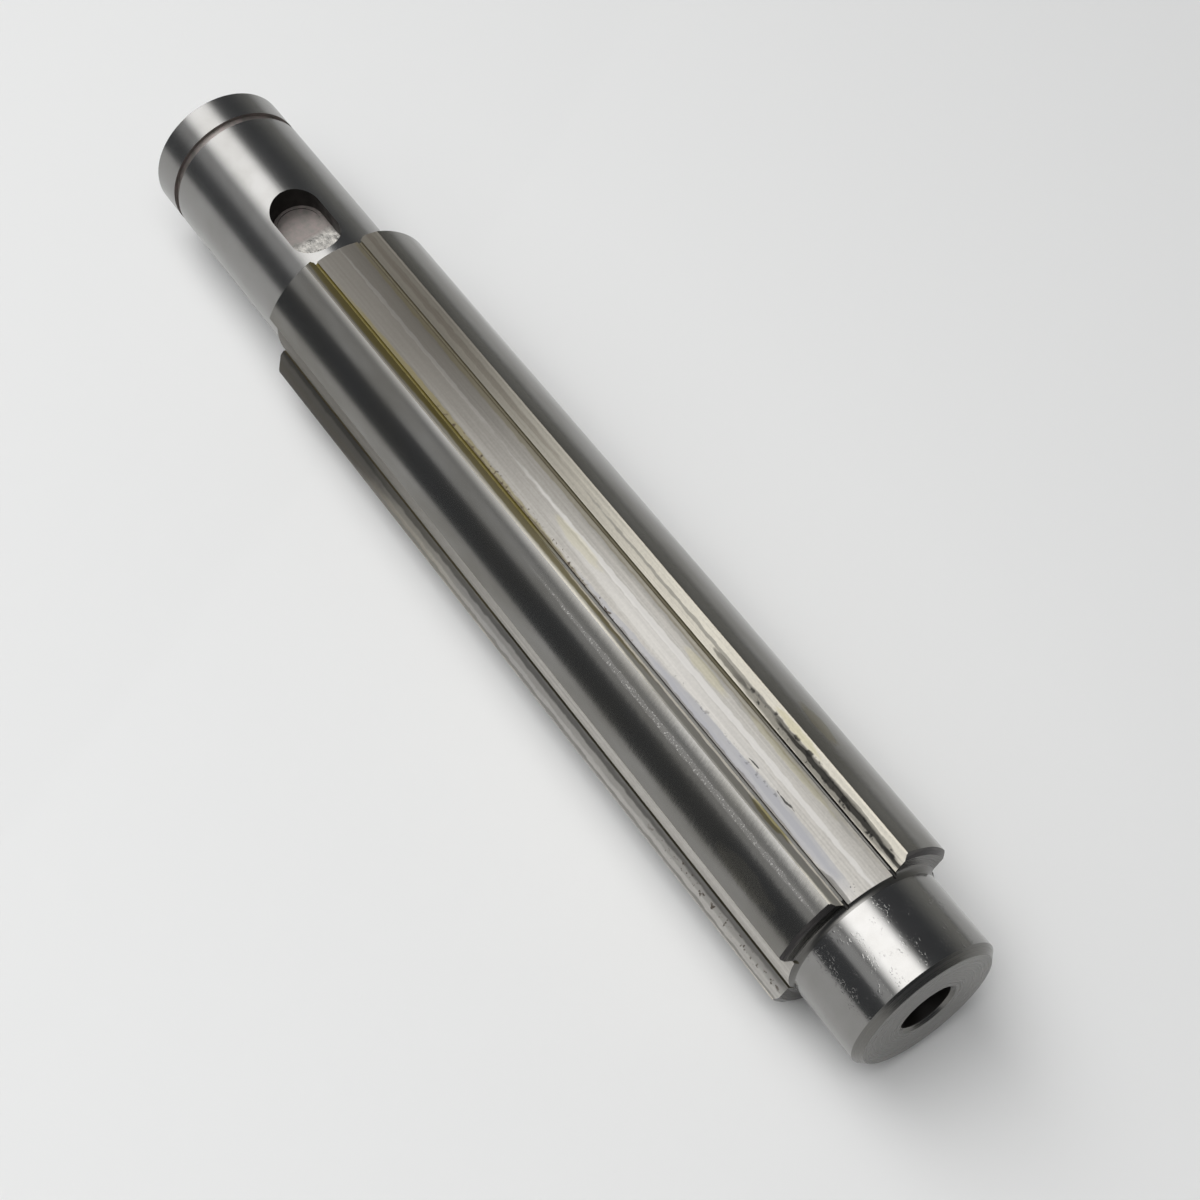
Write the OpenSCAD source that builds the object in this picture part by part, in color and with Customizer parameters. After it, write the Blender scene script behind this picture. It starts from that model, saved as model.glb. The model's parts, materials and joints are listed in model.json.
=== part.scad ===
// Splined transmission shaft, turned, milled and ground from one bar of steel.
// The axis runs along X, with the key slot at the -X end and the drilled hole at the +X end.
// One groove faces straight up and one straight down, which is how the shaft comes to rest.
// The origin is on the axis, halfway along the shaft. Sizes are in millimetres.

/* [Splines] */
// Diameter over the spline tops
spline_d = 22; // [20.5:0.1:26]
// Width of one spline from flank to flank
spline_w = 7.7; // [5:0.1:9]
// Number of splines round the shaft
spline_n = 4; // [3:1:5]
// Length of the splined part from face to face
spline_l = 96.6; // [60:0.1:130]
// Height of the ground groove floors above the journals
floor_step = 0.3; // [0.3:0.05:0.6]
// Diameter of the round relief cut in each floor corner
relief_d = 0.5; // [0.3:0.05:0.55]
// Edge break along the spline tops
top_break = 0.15; // [0.05:0.05:0.4]

/* [Spline ends] */
// Length of the lead-in cone at the key slot end
lead_l = 1.15; // [0.5:0.05:2]
// Height of the lead-in cone at the key slot end
lead_h = 1.4; // [0.5:0.05:1.6]
// Length of the chamfer at the drilled end of the splines
end_chamfer_l = 0.4; // [0.2:0.05:0.9]
// Height of the chamfer at the drilled end of the splines
end_chamfer_h = 0.65; // [0.3:0.05:1]
// Radius of the fillet between the spline end faces and the drilled journal
root_fillet = 0.75; // [0.4:0.05:1.2]

/* [Journals] */
// Diameter of both bearing journals
journal_d = 17; // [14:0.1:17.4]
// Length of the journal with the key slot
key_end_l = 29.4; // [24:0.1:40]
// Length of the journal with the drilled hole
hole_end_l = 10.2; // [6:0.1:20]
// Edge break at the end of the key slot journal
key_end_break = 0.3; // [0.1:0.05:0.8]
// Chamfer at the end of the drilled journal
hole_end_chamfer = 0.8; // [0.3:0.05:1.2]

/* [Ring groove] */
// Distance from the shaft end to the ring groove
ring_from_end = 4.3; // [2:0.1:6]
// Width of the ring groove
ring_w = 1.1; // [0.8:0.05:1.6]
// Diameter at the bottom of the ring groove
ring_d = 16.2; // [12:0.1:16.4]

/* [Key slot] */
// Width of the key slot
slot_w = 6; // [4:0.1:6.4]
// Length of the key slot over its round ends
slot_l = 10.4; // [8:0.1:14]
// Depth of the key slot below the crown of the journal
slot_deep = 3; // [2:0.1:4]
// Distance from the spline face to the key slot
slot_from_face = 1.1; // [0.5:0.1:4]
// Turn of the key slot about the axis, away from the middle of the top groove
slot_turn = 4; // [0:0.5:10]
// Depth of the plunge mark the cutter left at the outer end of the slot
plunge_deep = 0.12; // [0.05:0.01:0.3]
// Diameter of the plunge mark
plunge_d = 5.2; // [3:0.1:5.6]

/* [Drilled hole] */
// Diameter of the drilled hole
hole_d = 6; // [4:0.1:8]
// Depth of the full bore
hole_l = 18; // [8:0.5:30]
// Chamfer at the mouth of the hole
hole_chamfer = 0.35; // [0.1:0.05:0.8]
// Included angle of the drill point
drill_point = 118; // [90:1:140]

/* [Hidden] */
$fn = 96;
// Room by which a cutter runs past the face it leaves through
clear = 1;
spline_r = spline_d / 2;
journal_r = journal_d / 2;
floor_r = journal_r + floor_step;
hole_r = hole_d / 2;
pitch = 360 / spline_n;
// First spline beside the top groove
first = pitch / 2;
total_l = key_end_l + spline_l + hole_end_l;
// Stations along the axis, from the key slot end to the drilled end
x_start = -total_l / 2;
x_lead_face = x_start + key_end_l;
x_end_face = x_lead_face + spline_l;
x_stop = x_end_face + hole_end_l;
x_ring = x_start + ring_from_end;
// Half chord and corner of one spline at its top and at its root
half_w = spline_w / 2;
top_x = sqrt(pow(spline_r, 2) - pow(half_w, 2));
root_x = sqrt(pow(floor_r, 2) - pow(half_w, 2));
point_l = hole_r / tan(drill_point / 2);
slot_floor = journal_r - slot_deep;
slot_run = slot_l - slot_w;
x_slot_in = x_lead_face - slot_from_face - slot_w / 2;
x_slot_out = x_slot_in - slot_run;

// Lays a body made along Z down along X
module along_x() {
    rotate([0, 90, 0]) children();
}

// Half the outline of the bar: journals, ring groove, lead-in cone and chamfers
module bar_outline() {
    polygon([
        [0, x_start],
        [journal_r - key_end_break, x_start],
        [journal_r, x_start + key_end_break],
        [journal_r, x_ring],
        [ring_d / 2, x_ring],
        [ring_d / 2, x_ring + ring_w],
        [journal_r, x_ring + ring_w],
        [journal_r, x_lead_face],
        [spline_r - lead_h, x_lead_face],
        [spline_r, x_lead_face + lead_l],
        [spline_r, x_end_face - end_chamfer_l],
        [spline_r - end_chamfer_h, x_end_face],
        [journal_r, x_end_face],
        [journal_r, x_stop - hole_end_chamfer],
        [journal_r - hole_end_chamfer, x_stop],
        [0, x_stop]
    ]);
}

// The fillet at the root of the drilled journal, run in under the outline
module fillet_outline() {
    difference() {
        translate([journal_r - clear, x_end_face - clear]) square(root_fillet + clear);
        translate([journal_r + root_fillet, x_end_face + root_fillet]) circle(r = root_fillet);
    }
}

// The bar as it leaves the lathe
module turned_bar() {
    along_x() rotate_extrude() {
        bar_outline();
        fillet_outline();
    }
}

// Cross-section of one spline, run in to the middle of the shaft
module spline_section() {
    translate([0, -half_w]) square([spline_r + clear, spline_w]);
}

// Relief at the roots and edge break at the tops of one spline
module spline_corners() {
    for (side = [-1, 1]) {
        translate([root_x, side * half_w]) circle(d = relief_d);
        translate([top_x, side * half_w]) rotate(45) square(top_break * sqrt(2), center = true);
    }
}

// Everything the spline cutter and the grinding wheel take away, seen along the shaft
module groove_section() {
    difference() {
        circle(r = spline_r + clear);
        circle(r = floor_r);
        for (i = [0 : spline_n - 1]) rotate(first + i * pitch) spline_section();
    }
    for (i = [0 : spline_n - 1]) rotate(first + i * pitch) spline_corners();
}

// The straight-sided grooves with convex floors, cut right through both spline faces and the fillet
module grooves() {
    translate([x_lead_face - clear, 0, 0])
        along_x()
            linear_extrude(height = spline_l + root_fillet + clear * 2) groove_section();
}

// The round-ended key slot, with the mark of the cutter's first plunge in its floor
module key_slot() {
    rotate([slot_turn, 0, 0]) {
        translate([0, 0, slot_floor]) linear_extrude(height = slot_deep + clear) {
            translate([x_slot_in, 0]) circle(d = slot_w);
            translate([x_slot_out, 0]) circle(d = slot_w);
            translate([x_slot_out, -slot_w / 2]) square([slot_run, slot_w]);
        }
        translate([x_slot_out, 0, slot_floor - plunge_deep])
            cylinder(d = plunge_d, h = slot_deep);
    }
}

// The drilled hole in the end face, with its mouth chamfer and drill point
module end_hole() {
    along_x() rotate_extrude() polygon([
        [0, x_stop + clear],
        [hole_r + hole_chamfer + clear, x_stop + clear],
        [hole_r, x_stop - hole_chamfer],
        [hole_r, x_stop - hole_l],
        [0, x_stop - hole_l - point_l]
    ]);
}

// The whole shaft
module shaft() {
    color("#8f908d") difference() {
        turned_bar();
        grooves();
        key_slot();
        end_hole();
    }
}

shaft();
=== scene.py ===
"""Looks of a splined transmission shaft: ground bare steel with traces of old oil, lying on a pale floor."""

import json
import math

import bmesh
import bpy
from bpy.props import FloatProperty, FloatVectorProperty, IntProperty, PointerProperty
from mathutils import Matrix, Vector


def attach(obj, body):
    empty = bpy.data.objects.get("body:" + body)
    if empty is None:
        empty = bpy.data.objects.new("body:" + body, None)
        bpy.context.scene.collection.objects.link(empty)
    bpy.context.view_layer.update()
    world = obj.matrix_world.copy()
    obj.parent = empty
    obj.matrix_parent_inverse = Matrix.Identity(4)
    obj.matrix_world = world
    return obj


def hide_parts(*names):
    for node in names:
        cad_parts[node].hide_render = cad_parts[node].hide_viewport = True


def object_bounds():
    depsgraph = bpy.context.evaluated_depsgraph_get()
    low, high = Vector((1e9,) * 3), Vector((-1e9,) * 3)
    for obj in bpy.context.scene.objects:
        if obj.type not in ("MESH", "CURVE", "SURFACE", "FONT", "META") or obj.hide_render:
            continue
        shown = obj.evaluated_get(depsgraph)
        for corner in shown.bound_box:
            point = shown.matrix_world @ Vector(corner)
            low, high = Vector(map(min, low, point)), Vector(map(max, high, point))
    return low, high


bl_info = {
    "name": "Splined transmission shaft",
    "version": (1, 0, 0),
    "blender": (4, 5, 0),
    "location": "View3D > Sidebar > Shaft",
    "description": "Turns, splines and finishes a ground steel shaft, and lays it on a pale floor",
    "category": "Object",
}

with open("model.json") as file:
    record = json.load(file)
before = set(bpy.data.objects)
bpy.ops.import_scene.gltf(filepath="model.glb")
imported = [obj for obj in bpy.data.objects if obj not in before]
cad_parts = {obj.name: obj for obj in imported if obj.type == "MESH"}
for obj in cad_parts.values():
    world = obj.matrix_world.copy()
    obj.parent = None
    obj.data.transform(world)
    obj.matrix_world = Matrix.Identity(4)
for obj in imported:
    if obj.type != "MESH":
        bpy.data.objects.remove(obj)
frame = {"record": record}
CAD_BOX = [list(corner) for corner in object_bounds()]
MOUNTS = {mount["name"]: mount for mount in frame["record"]["mounts"]}
MM = 0.001
# Vertices closer than this, in metres, are one.
MERGE = 1e-7
# Faces that meet at more than this have a sharp edge between them.
SHARP_EDGE = math.radians(25)
# Steps that the round shapes are drawn in.
SHAFT_STEPS = 240
FILLET_STEPS = 16
FLOOR_STEPS = 28
RELIEF_STEPS = 20
SLOT_END_STEPS = 28
PLUNGE_STEPS = 72


def linear(code):
    """An sRGB hex colour as linear red, green, blue and alpha."""
    parts = [int(code[i:i + 2], 16) / 255 for i in (1, 3, 5)]
    return tuple(c / 12.92 if c <= 0.04045 else ((c + 0.055) / 1.055) ** 2.4 for c in parts) + (1.0,)


def length(label, text, size_mm):
    """A length that a user would change, given in millimetres and kept in metres."""
    return FloatProperty(
        name=label, description=text, default=size_mm * MM, min=0.0, unit="LENGTH", precision=5
    )


def colour(label, text, code):
    """A colour that a user would change."""
    return FloatVectorProperty(
        name=label, description=text, default=linear(code), size=4, min=0.0, max=1.0, subtype="COLOR"
    )


class ShaftSizes(bpy.types.PropertyGroup):
    """The shaft's sizes, the same as in its CAD model."""

    spline_d: length("Spline diameter", "Diameter over the spline tops", 22)
    spline_w: length("Spline width", "Width of one spline from flank to flank", 7.7)
    spline_n: IntProperty(
        name="Splines", description="Number of splines round the shaft", default=4, min=3, max=5
    )
    spline_l: length("Splined length", "Length of the splined part from face to face", 96.6)
    floor_step: length("Floor step", "Height of the groove floors above the journals", 0.3)
    relief_d: length("Corner relief", "Diameter of the relief in each floor corner", 0.5)
    top_break: length("Top edge break", "Edge break along the spline tops", 0.15)
    lead_l: length("Lead-in length", "Length of the lead-in cone at the key slot end", 1.15)
    lead_h: length("Lead-in height", "Height of the lead-in cone at the key slot end", 1.4)
    end_chamfer_l: length("End chamfer length", "Length of the splines' chamfer at the drilled end", 0.4)
    end_chamfer_h: length("End chamfer height", "Height of the splines' chamfer at the drilled end", 0.65)
    root_fillet: length("Root fillet", "Fillet between the spline end faces and the drilled journal", 0.75)
    journal_r: length("Journal radius", "Radius of both journals", MOUNTS["key_end_journal"]["dims"]["r_mm"])
    key_end_l: length("Key end length", "Length of the journal with the key slot", 29.4)
    hole_end_l: length("Drilled end length", "Length of the journal with the drilled hole", 10.2)
    key_end_break: length("Key end break", "Edge break at the end of the key slot journal", 0.3)
    hole_end_chamfer: length("Drilled end chamfer", "Chamfer at the end of the drilled journal", 0.8)
    ring_from_end: length("Ring groove place", "Distance from the shaft end to the ring groove", 4.3)
    ring_w: length("Ring groove width", "Width of the ring groove", 1.1)
    ring_d: length("Ring groove diameter", "Diameter at the bottom of the ring groove", 16.2)
    slot_w: length("Key slot width", "Width of the key slot", 6)
    slot_l: length("Key slot length", "Length of the key slot over its round ends", 10.4)
    slot_deep: length("Key slot depth", "Depth of the key slot below the crown of the journal", 3)
    slot_from_face: length("Key slot place", "Distance from the spline face to the key slot", 1.1)
    slot_turn: FloatProperty(
        name="Key slot turn", description="Turn of the key slot away from the middle of the top groove",
        default=math.radians(4), subtype="ANGLE",
    )
    plunge_deep: length("Plunge depth", "Depth of the cutter's plunge mark in the slot's floor", 0.12)
    plunge_d: length("Plunge diameter", "Diameter of the plunge mark", 5.2)
    hole_r: length("Hole radius", "Radius of the drilled hole", MOUNTS["end_hole"]["dims"]["r_mm"])
    hole_l: length("Hole depth", "Depth of the full bore", 18)
    hole_chamfer: length("Hole chamfer", "Chamfer at the mouth of the hole", 0.35)
    drill_point: FloatProperty(
        name="Drill point", description="Included angle of the drill point",
        default=math.radians(118), subtype="ANGLE",
    )


class ShaftColours(bpy.types.PropertyGroup):
    """Colours of the bare steel and of what years of oil left on it; some of them also paint shade, sheen and
    glints.
    """

    steel: colour("Steel", "Clean ground steel", "#939290")
    worn_steel: colour("Worn steel", "Steel with a grey film from handling", "#7d7b76")
    turned_steel: colour("Turned steel", "Matt end faces", "#747370")
    dark_steel: colour("Dark steel", "Spline ends darkened by hardening", "#3d3b3b")
    bright_floor: colour("Bright floor", "Groove floors where the hub has kept them clean", "#d2cec7")
    dull_floor: colour("Dull floor", "Groove floors under a grey film", "#58534a")
    # This pale colour also paints a row of glints along the front spline top.
    pale_line_and_glints: colour("Rubbed line", "Line that the hub has rubbed along the floor", "#e4e1dd")
    plunge_tint: colour("Plunge mark", "Pinkish floor of the key slot", "#968b88")
    old_oil: colour("Old oil", "Dried oil along the groove corners", "#6b6029")
    yellow_oil: colour("Thin oil", "Thin dried oil that yellows the steel", "#cdc386")
    # Near-white, this stands partly for pale dried oil and partly for painted sheen on the flanks.
    pale_oil_and_sheen: colour("Oil haze", "Pale dried oil on the flanks", "#f2ecdd")
    blue_film: colour("Blue-grey stain", "Thin blue-grey stain on the groove floor", "#98989c")
    # Besides real grime, this black paints shade on the key slot's walls, in the hole and in the corner
    # reliefs.
    dirt_and_shade: colour("Dirt", "Black oily dirt in recesses", "#120f0b")
    rust: colour("Brown specks", "Brown dried dirt in the corners", "#3c2b1a")


class ShaftStage(bpy.types.PropertyGroup):
    """Floor, lights and camera."""

    floor: colour("Floor", "Plain pale floor", "#e8e8e7")
    room: colour("Room", "Dim room round the table", "#595b5e")
    wall: colour("Pale wall", "Paler side of the room, low behind the shaft", "#a8a8a4")
    key_power: FloatProperty(
        name="Key light", description="Power of the soft light overhead", default=9.8, unit="POWER"
    )
    side_power: FloatProperty(
        name="Side light", description="Power of the dim panel beside it", default=1.13, unit="POWER"
    )
    lens: FloatProperty(
        name="Lens", description="Focal length on a 36 mm sensor", default=68.35, unit="CAMERA"
    )
    eye: FloatVectorProperty(
        name="Camera place", description="Where the camera stands", default=(0.12289, -0.07503, 0.19942),
        subtype="TRANSLATION", unit="LENGTH",
    )
    look: FloatVectorProperty(
        name="Camera direction", description="Where the camera looks", default=(-0.46010, 0.31574, -0.82983),
        subtype="DIRECTION",
    )


def stations(s):
    """Places along the axis, from the key slot end to the drilled end, in metres."""
    start = -(s.key_end_l + s.spline_l + s.hole_end_l) / 2
    lead_face = start + s.key_end_l
    end_face = lead_face + s.spline_l
    return start, lead_face, end_face, end_face + s.hole_end_l


def slot_centres(s):
    """Places along the axis of the key slot's round ends, the inner and the outer, in metres."""
    inner = stations(s)[1] - s.slot_from_face - s.slot_w / 2
    return inner, inner - (s.slot_l - s.slot_w)


def add(tree, kind, inputs=(), **settings):
    """One node with its settings; an input takes a value, a socket or a node's first live output."""
    node = tree.nodes.new(kind)
    for key, value in settings.items():
        setattr(node, key, value)
    for key, value in dict(inputs).items():
        named = [s for s in node.inputs if s.enabled and s.name == key]
        socket = node.inputs[key] if isinstance(key, int) else named[0]
        if isinstance(value, bpy.types.Node):
            value = next(s for s in value.outputs if s.enabled)
        if isinstance(value, bpy.types.NodeSocket):
            tree.links.new(value, socket)
        else:
            socket.default_value = value
    return node


def new_material(name):
    """An empty material, its node tree and the place on the object in millimetres."""
    material = bpy.data.materials.new(name)
    material.use_nodes = True
    tree = material.node_tree
    tree.nodes.clear()
    place = add(tree, "ShaderNodeTexCoord").outputs["Object"]
    place = add(tree, "ShaderNodeVectorMath", {0: place, "Scale": 1 / MM}, operation="SCALE")
    return material, tree, place


# What lies on the steel, and the shade, sheen and glints painted among it: its colour, and how metallic and
# how rough it makes the surface.
FILMS = {
    "oil": ("old_oil", 0.5, 0.45),
    "yellow": ("yellow_oil", 0.1, 0.5),
    "pale_film_and_sheen": ("pale_oil_and_sheen", 0.1, 0.5),
    "worn": ("worn_steel", 0.4, 0.5),
    "blue": ("blue_film", 0.25, 0.5),
    "dirt_and_shade": ("dirt_and_shade", 0.1, 0.5),
    "rust": ("rust", 0.1, 0.7),
    "pale_streak_and_glints": ("pale_line_and_glints", 0.1, 0.5),
}

# Stains, with some painted shade, sheen and glints among them: place along the axis, turn from the top
# towards the front, radius, length, width (mm and degrees), film, strength, and the size of its specks in mm,
# or 0 where it is whole.
FLOOR_STAINS = (
    (26, 5, 8.8, 44, 1.6, "pale_streak_and_glints", 0.25, 0),
    (32, -1.8, 8.8, 74, 0.8, "pale_streak_and_glints", 0.65, 0),
    (-22, -1.8, 8.8, 40, 0.5, "pale_streak_and_glints", 0.1, 0),
    (41, 13.2, 8.8, 36, 1.5, "blue", 0.8, 0),
    (48, 10.5, 8.8, 20, 1.2, "blue", 0.7, 0),
    (26, 15.5, 8.8, 30, 0.9, "blue", 0.7, 0),
    (30, -13.2, 8.8, 60, 0.8, "worn", 0.3, 0),
    (-25, -8, 8.8, 46, 2.6, "dirt_and_shade", 0.15, 0),
    (30, -9, 8.8, 8, 1.3, "yellow", 0.25, 0),
    (43, -13, 8.8, 16, 0.9, "yellow", 0.22, 0),
    (10, 2, 8.8, 9, 1.4, "yellow", 0.2, 0),
    (5, -16, 8.8, 112, 0.9, "oil", 0.35, 0),
    (-10, 17, 8.8, 54, 1.0, "oil", 0.65, 0),
    (4, 17.8, 8.8, 36, 0.6, "rust", 0.5, 0),
    (4, 16.6, 8.8, 40, 1.2, "rust", 0.9, 0.45),
    (36, 17.8, 8.8, 48, 0.6, "rust", 0.45, 0),
    (46.2, 6.3, 8.8, 2.8, 0.26, "dirt_and_shade", 0.9, 0),
    (41.6, 6.2, 8.8, 2.6, 0.2, "dirt_and_shade", 0.9, 0),
    (37, 9.2, 8.8, 26, 0.5, "dirt_and_shade", 0.4, 0.5),
    (57, 9, 8.8, 2, 1.0, "dirt_and_shade", 0.7, 0.3),
    (56, 17, 8.8, 6, 0.8, "dirt_and_shade", 0.6, 0),
)
FLANK_STAINS = (
    (-22, -22.5, 10.05, 58, 0.8, "rust", 0.3, 0),
    (28, -22.3, 9.97, 54, 0.45, "worn", 0.55, 0),
    (31, -21.2, 9.6, 7, 0.7, "dirt_and_shade", 0.6, 0),
    (45, -21.2, 9.6, 31, 1.5, "dirt_and_shade", 0.55, 0),
    (48, -21.7, 9.74, 22, 0.7, "dirt_and_shade", 0.9, 0),
    (45, -21.3, 9.65, 30, 1.2, "dirt_and_shade", 0.9, 0.6),
    (51, -22.6, 10.1, 15, 0.6, "dirt_and_shade", 0.55, 0),
    (57, -21.4, 9.6, 6, 0.5, "dirt_and_shade", 0.8, 0),
    (46, -22, 9.85, 30, 1.2, "dirt_and_shade", 0.85, 1.0),
    (41, -23.6, 10.6, 8, 0.9, "yellow", 0.35, 0),
    (40, 22, 9.8, 56, 3.4, "worn", 0.9, 0),
    (6, 21.1, 9.5, 48, 2.4, "oil", 0.8, 0),
    (-26, 21.1, 9.5, 40, 2.4, "oil", 0.85, 0),
    # A near-white strip low on the front flank: partly pale oil, partly painted sheen.
    (36, 20.2, 9.2, 58, 0.8, "pale_film_and_sheen", 0.75, 0),
    (47, 21, 9.6, 6, 1.8, "oil", 0.75, 0),
    (47, 20.2, 9.15, 7, 0.8, "yellow", 0.6, 0),
    (34, 112.4, 9.9, 84, 3.4, "blue", 0.6, 0),
    (10, 111.6, 9.7, 130, 1.3, "worn", 0.45, 0),
    (10, 110.2, 9.15, 130, 1.3, "dirt_and_shade", 0.65, 0),
    (10, 114.1, 10.8, 130, 0.5, "worn", 0.7, 0),
    (-34, 112.4, 9.9, 44, 3.2, "dirt_and_shade", 0.6, 0),
    (47, 112.4, 9.9, 26, 1.1, "rust", 0.85, 0.5),
)
TOP_STAINS_AND_GLINTS = (
    (41.2, -39.6, 11, 7, 2.0, "oil", 0.35, 0),
    (50, 50, 11, 9, 2.5, "oil", 0.12, 0),
    # These two paint glints: pale specks on a faint pale streak along the front spline top.
    (35, 33.8, 11, 56, 0.7, "pale_streak_and_glints", 0.12, 0),
    (35, 33.8, 11, 52, 0.7, "pale_streak_and_glints", 0.45, 0.2),
)


def stained(tree, place, channels, stains, colours):
    """Lays stains, and the shade, sheen and glints painted among them, with ragged edges over a steel's
    colour, metallic and roughness, and returns the three.
    """
    steel, metal, rough = channels
    # Their edges wander by up to 2 mm along the shaft and 0.25 mm across it.
    drift = add(
        tree, "ShaderNodeVectorMath", {0: place, 1: (1 / 1.6, 1 / 0.7, 1 / 0.7)}, operation="MULTIPLY"
    )
    drift = add(tree, "ShaderNodeTexNoise", {"Vector": drift, "Scale": 1.0, "Detail": 4.0}).outputs["Color"]
    drift = add(tree, "ShaderNodeVectorMath", {0: drift, 1: (0.5, 0.5, 0.5)}, operation="SUBTRACT")
    ragged = add(
        tree, "ShaderNodeVectorMath", {0: drift, 1: (4.0, 0.5, 0.5), 2: place}, operation="MULTIPLY_ADD"
    )
    for along, turn, radius, long, wide, film, strength, speck in stains:
        turn = math.radians(turn)
        centre = (along, -radius * math.sin(turn), radius * math.cos(turn))
        away = add(
            tree, "ShaderNodeMapping",
            {"Vector": ragged, "Location": centre, "Scale": (long / 2, wide / 2, wide / 2)},
            vector_type="TEXTURE",
        )
        away = add(tree, "ShaderNodeVectorMath", {0: away}, operation="LENGTH").outputs["Value"]
        cover = add(
            tree, "ShaderNodeMapRange", {"Value": away, 1: 1.05, 2: 0.7, 3: 0.0, 4: strength},
            interpolation_type="SMOOTHSTEP",
        )
        if speck:
            grain = add(tree, "ShaderNodeTexNoise", {"Vector": place, "Scale": 1 / speck, "Detail": 3.0})
            grain = add(tree, "ShaderNodeMapRange", {"Value": grain, 1: 0.59, 2: 0.66})
            cover = add(tree, "ShaderNodeMath", {0: cover, 1: grain}, operation="MULTIPLY")
        paint, metallic, dull = FILMS[film]
        steel = add(
            tree, "ShaderNodeMix",
            {"Factor": cover, "A": steel, "B": getattr(colours, paint)}, data_type="RGBA",
        )
        metal = add(tree, "ShaderNodeMix", {"Factor": cover, "A": metal, "B": metallic}, data_type="FLOAT")
        rough = add(tree, "ShaderNodeMix", {"Factor": cover, "A": rough, "B": dull}, data_type="FLOAT")
    return steel, metal, rough


def ground_journal(colours):
    """Cylindrically ground steel: a clear dark mirror, a little clouded, with handling marks that glint."""
    material, tree, place = new_material("ground steel journal")
    cloud = add(
        tree, "ShaderNodeTexNoise", {"Vector": place, "Scale": 1 / 4, "Detail": 6.0, "Roughness": 0.6}
    )
    tone = add(tree, "ShaderNodeMapRange", {"Value": cloud, 1: 0.4, 2: 0.7, 3: 0.0, 4: 0.3})
    steel = add(
        tree, "ShaderNodeMix", {"Factor": tone, "A": colours.steel, "B": colours.worn_steel}, data_type="RGBA"
    )
    # The drilled journal is the clearer one.
    along = add(tree, "ShaderNodeSeparateXYZ", {"Vector": place}).outputs["X"]
    rough = add(tree, "ShaderNodeMapRange", {"Value": along, 1: -45.0, 2: 60.0, 3: 0.24, 4: 0.16})
    # Grinding marks are about 0.02 mm apart; they are drawn 0.12 mm apart so that they show at all.
    marks = add(tree, "ShaderNodeMapping", {"Vector": place, "Scale": (1 / 0.12, 1 / 3, 1 / 3)})
    marks = add(tree, "ShaderNodeTexNoise", {"Vector": marks, "Scale": 1.0, "Detail": 2.0})
    # Handling marks: dents about 0.2 mm wide, in patches, at the drilled end only.
    dents = add(tree, "ShaderNodeTexNoise", {"Vector": place, "Scale": 1 / 0.25, "Detail": 2.0})
    dents = add(tree, "ShaderNodeMapRange", {"Value": dents, 1: 0.57, 2: 0.68})
    patch = add(tree, "ShaderNodeTexNoise", {"Vector": place, "Scale": 1 / 1.5, "Detail": 3.0})
    patch = add(tree, "ShaderNodeMapRange", {"Value": patch, 1: 0.47, 2: 0.6})
    handled = add(tree, "ShaderNodeMath", {0: along, 1: 0.0}, operation="GREATER_THAN")
    patch = add(tree, "ShaderNodeMath", {0: patch, 1: handled}, operation="MULTIPLY")
    dents = add(tree, "ShaderNodeMath", {0: dents, 1: patch}, operation="MULTIPLY")
    height = add(tree, "ShaderNodeMath", {0: marks, 1: 0.04, 2: dents}, operation="MULTIPLY_ADD")
    relief = add(tree, "ShaderNodeBump", {"Height": height, "Strength": 0.5, "Distance": 0.02 * MM})
    shader = add(
        tree, "ShaderNodeBsdfPrincipled",
        {"Base Color": steel, "Metallic": 1.0, "Roughness": rough, "Normal": relief},
    )
    add(tree, "ShaderNodeOutputMaterial", {"Surface": shader})
    return material


def ground_spline_top(colours):
    """Ground spline tops: a little darker than the journals, with scuffs across them at the drilled end, and
    painted glints along the front top.
    """
    material, tree, place = new_material("ground steel spline top")
    # Scuffs are drawn 0.35 mm apart, coarser than real ones, so that they show.
    scuffs = add(tree, "ShaderNodeMapping", {"Vector": place, "Scale": (1 / 0.35, 1 / 1.5, 1 / 1.5)})
    scuffs = add(
        tree, "ShaderNodeTexNoise", {"Vector": scuffs, "Scale": 1.0, "Detail": 3.0, "Roughness": 0.6}
    )
    along = add(tree, "ShaderNodeSeparateXYZ", {"Vector": place}).outputs["X"]
    worn = add(tree, "ShaderNodeMapRange", {"Value": along, 1: 0.0, 2: 40.0, 3: 0.08, 4: 1.0})
    cloud = add(tree, "ShaderNodeMapping", {"Vector": place, "Scale": (1 / 12, 1 / 3, 1 / 3)})
    cloud = add(tree, "ShaderNodeTexNoise", {"Vector": cloud, "Scale": 1.0, "Detail": 5.0})
    tone = add(tree, "ShaderNodeMapRange", {"Value": cloud, 1: 0.35, 2: 0.65, 3: 0.45, 4: 1.0})
    steel = add(
        tree, "ShaderNodeMix", {"Factor": tone, "A": colours.steel, "B": colours.worn_steel}, data_type="RGBA"
    )
    rough = add(tree, "ShaderNodeMapRange", {"Value": cloud, 1: 0.3, 2: 0.7, 3: 0.15, 4: 0.22})
    steel, metal, rough = stained(tree, place, (steel, 1.0, rough), TOP_STAINS_AND_GLINTS, colours)
    height = add(tree, "ShaderNodeMath", {0: scuffs, 1: worn}, operation="MULTIPLY")
    relief = add(tree, "ShaderNodeBump", {"Height": height, "Strength": 0.5, "Distance": 0.03 * MM})
    shader = add(
        tree, "ShaderNodeBsdfPrincipled",
        {"Base Color": steel, "Metallic": metal, "Roughness": rough, "Normal": relief},
    )
    add(tree, "ShaderNodeOutputMaterial", {"Surface": shader})
    return material


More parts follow.
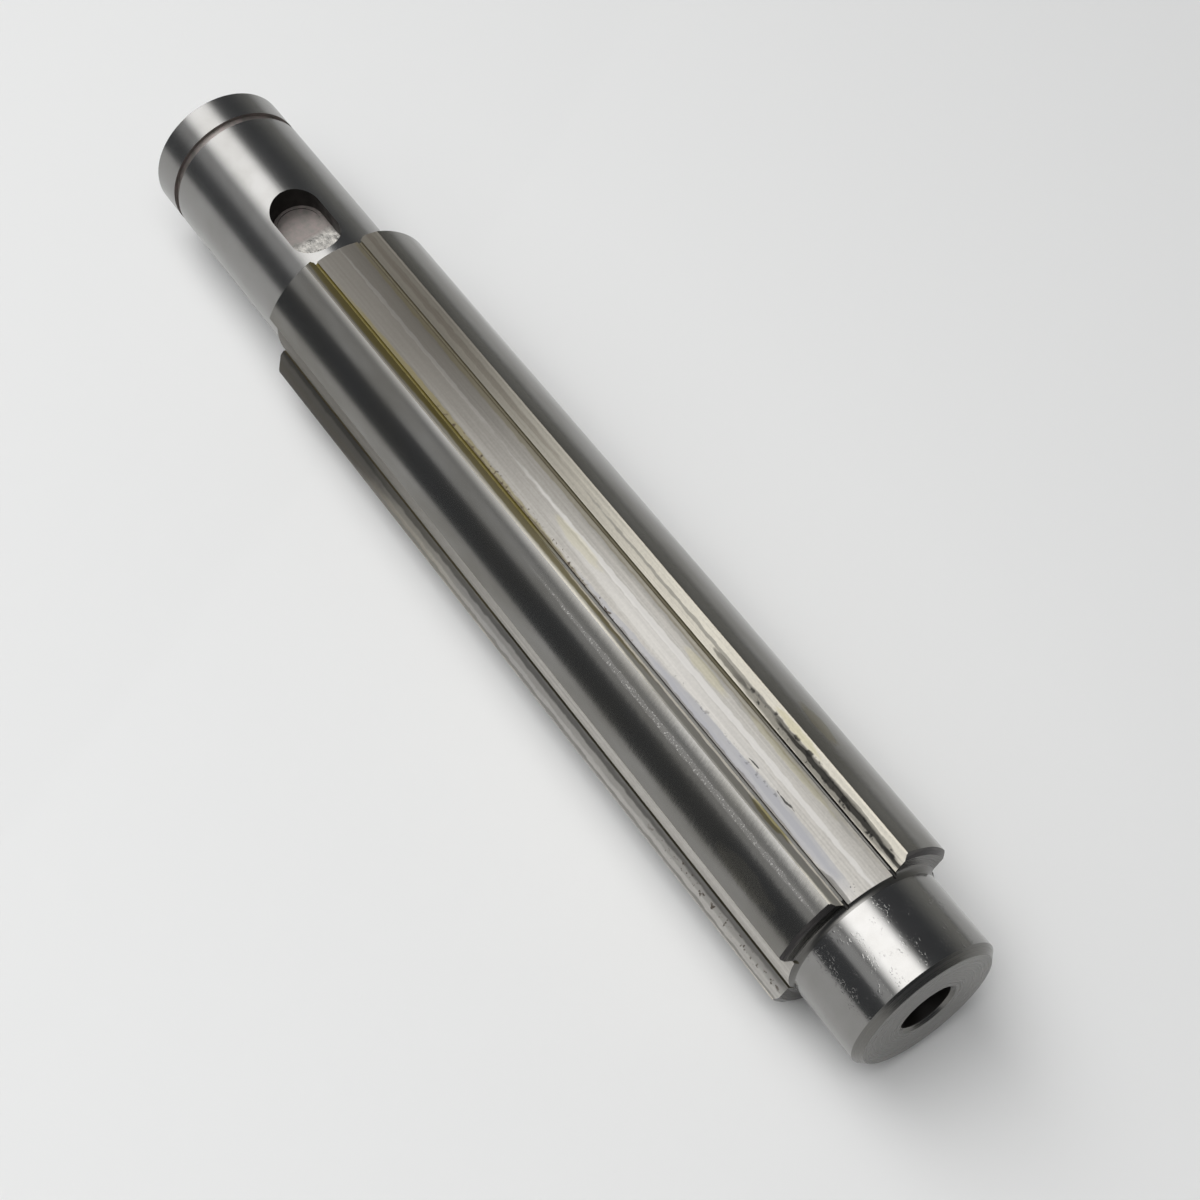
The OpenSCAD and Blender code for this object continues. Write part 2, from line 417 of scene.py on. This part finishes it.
def lengthwise(tree, place):
    """Steel ground lengthwise: how clean it is, more so towards the drilled end, and its streaks."""
    fine = add(tree, "ShaderNodeMapping", {"Vector": place, "Scale": (1 / 30, 1 / 0.35, 1 / 0.35)})
    fine = add(tree, "ShaderNodeTexNoise", {"Vector": fine, "Scale": 1.0, "Detail": 4.0, "Roughness": 0.65})
    grain = add(tree, "ShaderNodeTexNoise", {"Vector": place, "Scale": 1 / 0.3, "Detail": 3.0})
    streaks = add(tree, "ShaderNodeMath", {0: grain, 1: 0.35, 2: fine}, operation="MULTIPLY_ADD")
    shade = add(tree, "ShaderNodeMapRange", {"Value": streaks, 1: 0.45, 2: 0.9, 3: 0.54, 4: 0.88})
    along = add(tree, "ShaderNodeSeparateXYZ", {"Vector": place}).outputs["X"]
    clean = add(
        tree, "ShaderNodeMapRange", {"Value": along, 1: -26.0, 2: 30.0, 3: 0.15, 4: 1.15},
        interpolation_type="SMOOTHSTEP",
    )
    return add(tree, "ShaderNodeMath", {0: clean, 1: shade}, operation="MULTIPLY"), streaks


def ground_floor(colours):
    """Groove floors ground lengthwise: a matt streaked grey, palest at the drilled end, with stains."""
    material, tree, place = new_material("ground steel groove floor")
    tone, streaks = lengthwise(tree, place)
    steel = add(
        tree, "ShaderNodeMix",
        {"Factor": tone, "A": colours.dull_floor, "B": colours.bright_floor}, data_type="RGBA",
    )
    rough = add(tree, "ShaderNodeMapRange", {"Value": streaks, 1: 0.45, 2: 0.9, 3: 0.6, 4: 0.5})
    steel, metal, rough = stained(tree, place, (steel, 0.1, rough), FLOOR_STAINS, colours)
    relief = add(tree, "ShaderNodeBump", {"Height": streaks, "Strength": 0.4, "Distance": 0.01 * MM})
    shader = add(
        tree, "ShaderNodeBsdfPrincipled",
        {"Base Color": steel, "Metallic": metal, "Roughness": rough, "Normal": relief},
    )
    add(tree, "ShaderNodeOutputMaterial", {"Surface": shader})
    return material


def oiled_flank(colours):
    """Spline flanks, ground lengthwise, under dried oil: olive in the corners, and towards the drilled end a
    near-white base that is partly pale dried oil and partly painted sheen.
    """
    material, tree, place = new_material("ground steel flank with dried oil")
    tone, streaks = lengthwise(tree, place)
    # Towards the drilled end the base turns near-white: partly pale oil, partly painted sheen.
    steel = add(
        tree, "ShaderNodeMix",
        {"Factor": tone, "A": colours.dull_floor, "B": colours.pale_oil_and_sheen}, data_type="RGBA",
    )
    rough = add(tree, "ShaderNodeMapRange", {"Value": streaks, 1: 0.45, 2: 0.9, 3: 0.55, 4: 0.42})
    steel, metal, rough = stained(tree, place, (steel, 0.15, rough), FLANK_STAINS, colours)
    relief = add(tree, "ShaderNodeBump", {"Height": streaks, "Strength": 0.4, "Distance": 0.01 * MM})
    shader = add(
        tree, "ShaderNodeBsdfPrincipled",
        {"Base Color": steel, "Metallic": metal, "Roughness": rough, "Normal": relief},
    )
    add(tree, "ShaderNodeOutputMaterial", {"Surface": shader})
    return material


def turned_face(colours, s):
    """End faces as the lathe left them: fine rings, matt grey, darker behind the drilled journal."""
    end_face = stations(s)[2] / MM
    material, tree, place = new_material("turned steel end face")
    flat = add(tree, "ShaderNodeVectorMath", {0: place, 1: (0.0, 1.0, 1.0)}, operation="MULTIPLY")
    radius = add(tree, "ShaderNodeVectorMath", {0: flat}, operation="LENGTH").outputs["Value"]
    # Turning marks are drawn 0.25 mm apart, about twice the real feed, so that they show.
    rings = add(
        tree, "ShaderNodeTexNoise", {"W": radius, "Scale": 1 / 0.25, "Detail": 3.0}, noise_dimensions="1D"
    )
    cloud = add(tree, "ShaderNodeTexNoise", {"Vector": place, "Scale": 1 / 2.5, "Detail": 5.0})
    tone = add(tree, "ShaderNodeMath", {0: rings, 1: cloud}, operation="MULTIPLY")
    tone = add(tree, "ShaderNodeMapRange", {"Value": tone, 1: 0.1, 2: 0.45, 3: 0.0, 4: 0.5})
    steel = add(
        tree, "ShaderNodeMix",
        {"Factor": tone, "A": colours.turned_steel, "B": colours.worn_steel}, data_type="RGBA",
    )
    along = add(tree, "ShaderNodeSeparateXYZ", {"Vector": place}).outputs["X"]
    inner = add(tree, "ShaderNodeMath", {0: along}, operation="ABSOLUTE")
    inner = add(
        tree, "ShaderNodeMapRange", {"Value": inner, 1: end_face + 1.1, 2: end_face + 0.4, 3: 0.0, 4: 0.3}
    )
    steel = add(
        tree, "ShaderNodeMix", {"Factor": inner, "A": steel, "B": colours.dark_steel}, data_type="RGBA"
    )
    rough = add(tree, "ShaderNodeMapRange", {"Value": rings, 1: 0.3, 2: 0.7, 3: 0.22, 4: 0.34})
    relief = add(tree, "ShaderNodeBump", {"Height": rings, "Strength": 0.3, "Distance": 0.006 * MM})
    shader = add(
        tree, "ShaderNodeBsdfPrincipled",
        {"Base Color": steel, "Metallic": 1.0, "Roughness": rough, "Normal": relief},
    )
    add(tree, "ShaderNodeOutputMaterial", {"Surface": shader})
    return material


def turned_chamfer(colours):
    """Lead-in cone and spline end chamfers: almost black from hardening, worn along the turning marks."""
    material, tree, place = new_material("turned hardened steel chamfer")
    rings = add(tree, "ShaderNodeMapping", {"Vector": place, "Scale": (1 / 0.2, 1 / 4, 1 / 4)})
    rings = add(tree, "ShaderNodeTexNoise", {"Vector": rings, "Scale": 1.0, "Detail": 3.0})
    patch = add(tree, "ShaderNodeMapRange", {"Value": rings, 1: 0.5, 2: 0.7, 3: 0.0, 4: 0.3})
    steel = add(
        tree, "ShaderNodeMix",
        {"Factor": patch, "A": colours.dark_steel, "B": colours.worn_steel}, data_type="RGBA",
    )
    rough = add(tree, "ShaderNodeMapRange", {"Value": rings, 1: 0.3, 2: 0.7, 3: 0.22, 4: 0.32})
    shader = add(tree, "ShaderNodeBsdfPrincipled", {"Base Color": steel, "Metallic": 1.0, "Roughness": rough})
    add(tree, "ShaderNodeOutputMaterial", {"Surface": shader})
    return material


def milled_slot(colours, s):
    """Key slot floor and ring groove: smooth and pinkish at the plunge mark, rough and paler beside it."""
    plunge_edge = (slot_centres(s)[1] + s.plunge_d / 2) / MM
    material, tree, place = new_material("milled steel key slot")
    grain = add(
        tree, "ShaderNodeTexNoise", {"Vector": place, "Scale": 1 / 0.8, "Detail": 5.0, "Roughness": 0.65}
    )
    along = add(tree, "ShaderNodeSeparateXYZ", {"Vector": place}).outputs["X"]
    torn = add(tree, "ShaderNodeMapRange", {"Value": along, 1: plunge_edge - 0.6, 2: plunge_edge + 0.4})
    tone = add(tree, "ShaderNodeMapRange", {"Value": grain, 1: 0.3, 2: 0.7})
    rough_floor = add(
        tree, "ShaderNodeMix",
        {"Factor": tone, "A": colours.turned_steel, "B": colours.bright_floor}, data_type="RGBA",
    )
    disc = add(
        tree, "ShaderNodeMix",
        {"Factor": tone, "A": colours.worn_steel, "B": colours.plunge_tint}, data_type="RGBA",
    )
    steel = add(tree, "ShaderNodeMix", {"Factor": torn, "A": disc, "B": rough_floor}, data_type="RGBA")
    rough = add(tree, "ShaderNodeMapRange", {"Value": grain, 1: 0.3, 2: 0.7, 3: 0.38, 4: 0.55})
    height = add(tree, "ShaderNodeMath", {0: grain, 1: torn}, operation="MULTIPLY")
    relief = add(tree, "ShaderNodeBump", {"Height": height, "Strength": 0.8, "Distance": 0.15 * MM})
    shader = add(
        tree, "ShaderNodeBsdfPrincipled",
        {"Base Color": steel, "Metallic": 0.85, "Roughness": rough, "Normal": relief},
    )
    add(tree, "ShaderNodeOutputMaterial", {"Surface": shader})
    return material


def recess_grime_and_shade(colours, s):
    """Corner reliefs, slot walls and hole: black, which is painted shade on the slot walls and in the hole,
    and partly oily grime, partly painted shade in the reliefs; olive or grey where oil fills a relief.
    """
    _, lead_face, end_face, _ = (at / MM for at in stations(s))
    relief_bottom = (s.journal_r + s.floor_step - s.relief_d / 2) / MM
    material, tree, place = new_material("steel recess with oily dirt")
    grain = add(tree, "ShaderNodeTexNoise", {"Vector": place, "Scale": 1 / 1.2, "Detail": 4.0})
    spot = add(tree, "ShaderNodeSeparateXYZ", {"Vector": place})
    # The reliefs are filled up to 8 mm past the middle on the front, and up to 38 mm past it at the back.
    back = add(tree, "ShaderNodeMapRange", {"Value": spot.outputs["Y"], 1: -1.0, 2: 1.0, 3: 8.0, 4: 38.0})
    past = add(tree, "ShaderNodeMath", {0: spot.outputs["X"], 1: back}, operation="SUBTRACT")
    filled = add(tree, "ShaderNodeMapRange", {"Value": past, 1: 3.0, 2: -3.0})
    # The key slot lies beyond the splines, and its walls stay black: painted shade.
    splined = add(tree, "ShaderNodeMath", {0: spot.outputs["X"], 1: lead_face}, operation="GREATER_THAN")
    filled = add(tree, "ShaderNodeMath", {0: filled, 1: splined}, operation="MULTIPLY")
    # The groove that faces front has grey in its reliefs all along.
    front = add(tree, "ShaderNodeMapRange", {"Value": spot.outputs["Y"], 1: -6.0, 2: -8.0, 3: 0.0, 4: 0.5})
    front = add(tree, "ShaderNodeMath", {0: front, 1: splined}, operation="MULTIPLY")
    filled = add(tree, "ShaderNodeMath", {0: filled, 1: front}, operation="MAXIMUM")
    # What fills them is olive along the front corner of the top groove, and mostly grey elsewhere.
    tint = add(tree, "ShaderNodeMapRange", {"Value": spot.outputs["Y"], 1: 1.0, 2: -1.0, 3: 0.25, 4: 0.95})
    tint = add(tree, "ShaderNodeMath", {0: front, 1: -1.4, 2: tint}, operation="MULTIPLY_ADD")
    oil = add(
        tree, "ShaderNodeMix",
        {"Factor": tint, "A": colours.dull_floor, "B": colours.old_oil}, data_type="RGBA",
    )
    # The bottoms of the reliefs are worn grey almost to the spline ends, with a thin black line beside them.
    flat = add(tree, "ShaderNodeVectorMath", {0: place, 1: (0.0, 1.0, 1.0)}, operation="MULTIPLY")
    radius = add(tree, "ShaderNodeVectorMath", {0: flat}, operation="LENGTH").outputs["Value"]
    bottom = add(tree, "ShaderNodeMath", {0: radius, 1: relief_bottom + 0.02, 2: 0.06}, operation="COMPARE")
    within = add(tree, "ShaderNodeMath", {0: spot.outputs["X"], 1: end_face - 0.6}, operation="LESS_THAN")
    bottom = add(tree, "ShaderNodeMath", {0: bottom, 1: within}, operation="MULTIPLY")
    bottom = add(tree, "ShaderNodeMath", {0: bottom, 1: splined}, operation="MULTIPLY")
    # Black here is painted shade on the slot walls and in the hole, and partly grime, partly painted shade in
    # the reliefs.
    dirt_and_shade = add(
        tree, "ShaderNodeMix",
        {"Factor": bottom, "A": colours.dirt_and_shade, "B": colours.worn_steel}, data_type="RGBA",
    )
    dirt_and_shade = add(tree, "ShaderNodeMix", {"Factor": filled, "A": dirt_and_shade, "B": oil}, data_type="RGBA")
    rough = add(tree, "ShaderNodeMapRange", {"Value": grain, 1: 0.3, 2: 0.7, 3: 0.45, 4: 0.65})
    shader = add(tree, "ShaderNodeBsdfPrincipled", {"Base Color": dirt_and_shade, "Metallic": 0.3, "Roughness": rough})
    add(tree, "ShaderNodeOutputMaterial", {"Surface": shader})
    return material


JOURNAL, SPLINE_TOP, FLOOR, FLANK, FACE, CHAMFER, SLOT, RECESS = range(8)


def finishes(colours, s):
    """The eight finishes, in the order of the numbers above."""
    return (
        ground_journal(colours), ground_spline_top(colours), ground_floor(colours), oiled_flank(colours),
        turned_face(colours, s), turned_chamfer(colours), milled_slot(colours, s), recess_grime_and_shade(colours, s),
    )


def solid(bm, name):
    """Merges, turns outwards and keeps a bmesh as an object at the origin."""
    bmesh.ops.remove_doubles(bm, verts=bm.verts, dist=MERGE)
    bmesh.ops.recalc_face_normals(bm, faces=bm.faces)
    mesh = bpy.data.meshes.new(name)
    bm.to_mesh(mesh)
    bm.free()
    made = bpy.data.objects.new(name, mesh)
    bpy.context.scene.collection.objects.link(made)
    return made


def turned_bar(s):
    """The bar as it leaves the lathe: half its outline, spun about the axis, with the drilled hole."""
    start, lead_face, end_face, stop = stations(s)
    ring, fillet = start + s.ring_from_end, s.root_fillet
    spline_r, ring_r, hold = s.spline_d / 2, s.ring_d / 2, 0.15 * MM
    point = s.hole_r / math.tan(s.drill_point / 2)
    arc = [i * math.pi / 2 / FILLET_STEPS for i in range(FILLET_STEPS + 1)]
    root = [(end_face + fillet * (1 - math.cos(a)), s.journal_r + fillet * (1 - math.sin(a))) for a in arc]
    outline = [
        (start, 0), (start, s.journal_r - s.key_end_break), (start + s.key_end_break, s.journal_r),
        (ring, s.journal_r), (ring, ring_r), (ring + s.ring_w, ring_r), (ring + s.ring_w, s.journal_r),
        (lead_face, s.journal_r), (lead_face, spline_r - s.lead_h), (lead_face + s.lead_l, spline_r),
        (end_face - s.end_chamfer_l, spline_r), (end_face, spline_r - s.end_chamfer_h),
        # The points beside the fillet hold its shading off the flat face and the journal.
        (end_face, root[0][1] + hold), *root, (root[-1][0] + hold, s.journal_r),
        (stop - s.hole_end_chamfer, s.journal_r), (stop, s.journal_r - s.hole_end_chamfer),
        (stop, s.hole_r + s.hole_chamfer), (stop - s.hole_chamfer, s.hole_r), (stop - s.hole_l, s.hole_r),
        (stop - s.hole_l - point, 0),
    ]
    bm = bmesh.new()
    verts = [bm.verts.new((x, 0, r)) for x, r in outline]
    edges = [bm.edges.new(pair) for pair in zip(verts, verts[1:])]
    bmesh.ops.spin(
        bm, geom=verts + edges, cent=(0, 0, 0), axis=(1, 0, 0),
        angle=math.tau, steps=SHAFT_STEPS, use_merge=True,
    )
    return solid(bm, "shaft.bar")


def groove_cutter(s):
    """What the spline cutter and the wheel take away: one groove's outline, run along and repeated."""
    _, lead_face, end_face, _ = stations(s)
    half, pitch, spare = s.spline_w / 2, math.tau / s.spline_n, 1 * MM
    floor_r, relief_r = s.journal_r + s.floor_step, s.relief_d / 2
    bm = bmesh.new()

    def spun(at, centre, angle, steps):
        """A vertex spun into an arc about a line along the shaft."""
        first = bm.verts.new(at)
        bmesh.ops.spin(bm, geom=[first], cent=centre, axis=(1, 0, 0), angle=angle, steps=steps)

    # In the frame of the spline beside the groove, "up" its middle and "in" towards the groove.
    up = Vector((0, math.sin(pitch / 2), math.cos(pitch / 2)))
    inward = Vector((0, -up.z, up.y))
    x = Vector((lead_face - spare, 0, 0))
    corner = x + up * math.sqrt(floor_r ** 2 - half ** 2) + inward * half
    to_floor = 2 * math.asin(relief_r / floor_r / 2)
    foot = x + Matrix.Rotation(to_floor, 3, "X") @ (corner - x)
    flank_foot = corner + up * relief_r
    sweep = math.tau - (foot - corner).angle(up)
    edge = x + up * math.sqrt((s.spline_d / 2) ** 2 - half ** 2) + inward * half
    broken = (edge - up * s.top_break, edge - inward * s.top_break, edge + up * s.top_break)
    # Past the spline tops the outline runs on into the air, up to a ridge over the groove's middle.
    outside = edge + up * 2.5 * MM
    ridge = x + Vector((0, 0, s.spline_d * 0.64))
    half_floor = math.atan2(foot.y, foot.z)
    spun(foot, (0, 0, 0), 2 * half_floor, FLOOR_STEPS)
    for side in (1, -1):
        mirrored = Matrix.Diagonal((1, side, 1))
        spun(mirrored @ foot, mirrored @ corner, side * sweep, RELIEF_STEPS)
        path = [bm.verts.new(mirrored @ p) for p in (flank_foot, *broken, outside, ridge)]
        for pair in zip(path, path[1:]):
            bm.edges.new(pair)
    bmesh.ops.remove_doubles(bm, verts=bm.verts, dist=MERGE)
    face = bmesh.ops.contextual_create(bm, geom=bm.edges[:])["faces"]
    run = bmesh.ops.extrude_face_region(bm, geom=face)["geom"]
    run_l = end_face - lead_face + s.root_fillet + 2 * spare
    bmesh.ops.translate(bm, verts=[g for g in run if isinstance(g, bmesh.types.BMVert)], vec=(run_l, 0, 0))
    bmesh.ops.spin(
        bm, geom=bm.verts[:] + bm.edges[:] + bm.faces[:], cent=(0, 0, 0), axis=(1, 0, 0),
        angle=math.tau - pitch, steps=s.spline_n - 1, use_duplicate=True,
    )
    return solid(bm, "cutter.grooves")


def slot_cutters(s):
    """The slot cutter's path, and its first plunge a little deeper."""
    inner, outer = slot_centres(s)
    bottom, over = s.journal_r - s.slot_deep, s.slot_deep + 1 * MM
    turn = Matrix.Rotation(s.slot_turn, 3, "X")
    bm = bmesh.new()
    ends = []
    for at, side in ((inner, 1), (outer, -1)):
        first = bm.verts.new((at, -side * s.slot_w / 2, bottom))
        last = bmesh.ops.spin(
            bm, geom=[first], cent=(at, 0, bottom), axis=(0, 0, 1), angle=math.pi, steps=SLOT_END_STEPS
        )["geom_last"][0]
        ends += [first, last]
    bm.edges.new((ends[1], ends[2]))
    bm.edges.new((ends[3], ends[0]))
    face = bmesh.ops.contextual_create(bm, geom=bm.edges[:])["faces"]
    run = bmesh.ops.extrude_face_region(bm, geom=face)["geom"]
    bmesh.ops.translate(bm, verts=[g for g in run if isinstance(g, bmesh.types.BMVert)], vec=(0, 0, over))
    bmesh.ops.rotate(bm, verts=bm.verts, cent=(0, 0, 0), matrix=turn)
    slot = solid(bm, "cutter.slot")
    bm = bmesh.new()
    bmesh.ops.create_cone(
        bm, cap_ends=True, segments=PLUNGE_STEPS,
        radius1=s.plunge_d / 2, radius2=s.plunge_d / 2, depth=s.slot_deep,
        matrix=Matrix.Translation((outer, 0, bottom - s.plunge_deep + s.slot_deep / 2)),
    )
    bmesh.ops.rotate(bm, verts=bm.verts, cent=(0, 0, 0), matrix=turn)
    return slot, solid(bm, "cutter.plunge")


def finish_of(face, s):
    """The finish that belongs on a face, from where it is and where it points."""
    start, lead_face, end_face, _ = stations(s)
    at, n = face.calc_center_median(), face.normal
    r = math.hypot(at.y, at.z)
    outward = (n.y * at.y + n.z * at.z) / max(r, 1e-9)
    near = 0.02 * MM
    floor_r, half, ring = s.journal_r + s.floor_step, s.spline_w / 2, start + s.ring_from_end
    # The hole's wall.
    if at.x > 0 and r < s.hole_r + s.hole_chamfer + near and n.x < 0.2:
        return RECESS
    # From the spline end faces on: the fillet, the chamfers and the flat end.
    if abs(n.x) > 0.03 and at.x > end_face - near:
        return FACE
    # Other faces that look along the axis: the key slot end, the ring groove, the slot and the spline ends.
    if abs(n.x) > 0.2:
        if at.x < ring + s.ring_w + near:
            return SLOT if at.x > ring - near else FACE
        return RECESS if at.x < lead_face - near else CHAMFER
    # The two journals, with the groove floors that run out through the fillet.
    if at.x < lead_face or at.x > end_face:
        if outward > 0.99 and abs(r - s.journal_r) < near:
            return JOURNAL
        if at.x < ring + s.ring_w:
            return SLOT
        if at.x > end_face and outward > 0.95 and r > floor_r - near:
            return FLOOR
        return SLOT if n.z > 0.9 else RECESS
    # The splined part: tops and floors, and then the reliefs and flanks, in the frame of their spline.
    if outward > 0.95 and r > floor_r - near:
        return SPLINE_TOP if r > s.spline_d / 2 - 2 * s.top_break else FLOOR
    pitch = math.tau / s.spline_n
    turn = math.atan2(at.y, at.z) % pitch - pitch / 2
    up, across = r * math.cos(turn), abs(r * math.sin(turn))
    if math.hypot(up - math.sqrt(floor_r ** 2 - half ** 2), across - half) < s.relief_d / 2 + near:
        return RECESS
    return FLANK


class SHAFT_OT_make(bpy.types.Operator):
    """Turns the bar, cuts its grooves and key slot, and gives each surface its finish"""

    bl_idname = "shaft.make"
    bl_label = "Make shaft"

    def execute(self, context):
        s, colours = context.scene.shaft_sizes, context.scene.shaft_colours
        shaft = turned_bar(s)
        cutters = [groove_cutter(s), *slot_cutters(s)]
        for cutter in cutters:
            cut = shaft.modifiers.new(cutter.name, "BOOLEAN")
            cut.object, cut.operation, cut.solver = cutter, "DIFFERENCE", "MANIFOLD"
        context.view_layer.update()
        mesh = bpy.data.meshes.new_from_object(shaft.evaluated_get(context.evaluated_depsgraph_get()))
        shaft.modifiers.clear()
        for cutter in cutters:
            bpy.data.objects.remove(cutter)
        bpy.data.objects.remove(shaft)
        mesh.name = "splined_shaft"
        mesh.materials.clear()
        for finish in finishes(colours, s):
            mesh.materials.append(finish)
        bm = bmesh.new()
        bm.from_mesh(mesh)
        bmesh.ops.remove_doubles(bm, verts=bm.verts, dist=MERGE)
        bmesh.ops.recalc_face_normals(bm, faces=bm.faces)
        for face in bm.faces:
            face.material_index = finish_of(face, s)
            face.smooth = True
        open_edges = sum(len(edge.link_faces) != 2 for edge in bm.edges)
        bm.to_mesh(mesh)
        bm.free()
        if open_edges:
            raise RuntimeError(f"the shaft's skin has {open_edges} open edges")
        mesh.set_sharp_from_angle(angle=SHARP_EDGE)
        made = bpy.data.objects.new("splined_shaft", mesh)
        context.scene.collection.objects.link(made)
        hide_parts("shaft")
        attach(made, "root")
        return {"FINISHED"}


class SHAFT_OT_stage(bpy.types.Operator):
    """Lays a pale floor, hangs a soft light over it and sets the camera"""

    bl_idname = "shaft.stage"
    bl_label = "Set stage"

    def execute(self, context):
        scene, stage = context.scene, context.scene.shaft_stage
        bm = bmesh.new()
        bmesh.ops.create_grid(
            bm, x_segments=1, y_segments=1, size=3.0, matrix=Matrix.Translation((0, 0, CAD_BOX[0][2]))
        )
        floor = solid(bm, "floor")
        material, tree, place = new_material("matt white board")
        fibres = add(tree, "ShaderNodeTexNoise", {"Vector": place, "Scale": 1 / 3, "Detail": 3.0})
        rough = add(tree, "ShaderNodeMapRange", {"Value": fibres, 1: 0.3, 2: 0.7, 3: 0.8, 4: 0.95})
        board = add(tree, "ShaderNodeBsdfPrincipled", {"Base Color": stage.floor, "Roughness": rough})
        add(tree, "ShaderNodeOutputMaterial", {"Surface": board})
        floor.data.materials.append(material)

        lamps = []
        for name, place, size, power in (
            ("soft light overhead", (-0.30, -0.175, 0.6), (1.3, 0.732), stage.key_power),
            ("dim side panel", (-0.30, -0.71, 0.6), (1.3, 0.5), stage.side_power),
        ):
            light = bpy.data.lights.new(name, "AREA")
            light.shape, light.energy = "RECTANGLE", power
            light.size, light.size_y = size
            lamp = bpy.data.objects.new(name, light)
            lamp.location = place
            scene.collection.objects.link(lamp)
            lamps.append(lamp)

        # The light overhead fades towards its long edges and its far end, as cloth over a lamp does.
        lamps[0].rotation_euler.z = math.radians(-5.5)
        lamps[0].data.use_nodes = True
        cloth = lamps[0].data.node_tree
        cloth.nodes.clear()
        spot = add(cloth, "ShaderNodeNewGeometry").outputs["Parametric"]
        spot = add(cloth, "ShaderNodeSeparateXYZ", {"Vector": spot})
        fade = add(
            cloth, "ShaderNodeMapRange", {"Value": spot.outputs["X"], 1: 0.28, 2: 0.65, 3: 0.79, 4: 1.0}
        )
        for dark, bright in ((0.0, 0.41), (1.0, 0.765)):
            edge = add(
                cloth, "ShaderNodeMapRange", {"Value": spot.outputs["Y"], 1: dark, 2: bright},
                interpolation_type="SMOOTHSTEP",
            )
            fade = add(cloth, "ShaderNodeMath", {0: fade, 1: edge}, operation="MULTIPLY")
        glow = add(cloth, "ShaderNodeEmission", {"Strength": fade})
        add(cloth, "ShaderNodeOutputLight", {"Surface": glow})

        scene.world = bpy.data.worlds.new("dim room")
        scene.world.use_nodes = True
        sky = scene.world.node_tree
        sky.nodes.clear()
        way = add(sky, "ShaderNodeTexCoord").outputs["Generated"]
        lean = add(sky, "ShaderNodeSeparateXYZ", {"Vector": way})
        side = add(sky, "ShaderNodeMath", {0: lean.outputs["Y"], 1: lean.outputs["Z"]}, operation="SUBTRACT")
        paler = add(
            sky, "ShaderNodeMapRange", {"Value": side, 1: 0.0, 2: 1.0}, interpolation_type="SMOOTHSTEP"
        )
        walls = add(
            sky, "ShaderNodeMix", {"Factor": paler, "A": stage.room, "B": stage.wall}, data_type="RGBA"
        )
        room = add(sky, "ShaderNodeBackground", {"Color": walls, "Strength": 1.0})
        add(sky, "ShaderNodeOutputWorld", {"Surface": room})

        lens = bpy.data.cameras.new("camera")
        lens.sensor_width, lens.lens, lens.clip_start = 36.0, stage.lens, 0.01
        camera = bpy.data.objects.new("camera", lens)
        camera.location = stage.eye
        camera.rotation_euler = Vector(stage.look).to_track_quat("-Z", "Y").to_euler()
        scene.collection.objects.link(camera)
        scene.camera = camera
        scene.view_settings.view_transform = "Standard"
        return {"FINISHED"}


class SHAFT_PT_panel(bpy.types.Panel):
    """The shaft's operators and values"""

    bl_idname = "SHAFT_PT_panel"
    bl_label = "Splined shaft"
    bl_space_type = "VIEW_3D"
    bl_region_type = "UI"
    bl_category = "Shaft"

    def draw(self, context):
        for operator, group in (
            (SHAFT_OT_make, context.scene.shaft_sizes),
            (None, context.scene.shaft_colours),
            (SHAFT_OT_stage, context.scene.shaft_stage),
        ):
            column = self.layout.column(align=True)
            for key in group.__annotations__:
                column.prop(group, key)
            if operator:
                column.operator(operator.bl_idname)


CLASSES = (ShaftSizes, ShaftColours, ShaftStage, SHAFT_OT_make, SHAFT_OT_stage, SHAFT_PT_panel)


def register():
    for cls in CLASSES:
        bpy.utils.register_class(cls)
    bpy.types.Scene.shaft_sizes = PointerProperty(type=ShaftSizes)
    bpy.types.Scene.shaft_colours = PointerProperty(type=ShaftColours)
    bpy.types.Scene.shaft_stage = PointerProperty(type=ShaftStage)


def unregister():
    del bpy.types.Scene.shaft_stage, bpy.types.Scene.shaft_colours, bpy.types.Scene.shaft_sizes
    for cls in reversed(CLASSES):
        bpy.utils.unregister_class(cls)


def main():
    register()
    bpy.ops.shaft.make()
    bpy.ops.shaft.stage()


if __name__ == "__main__":
    main()
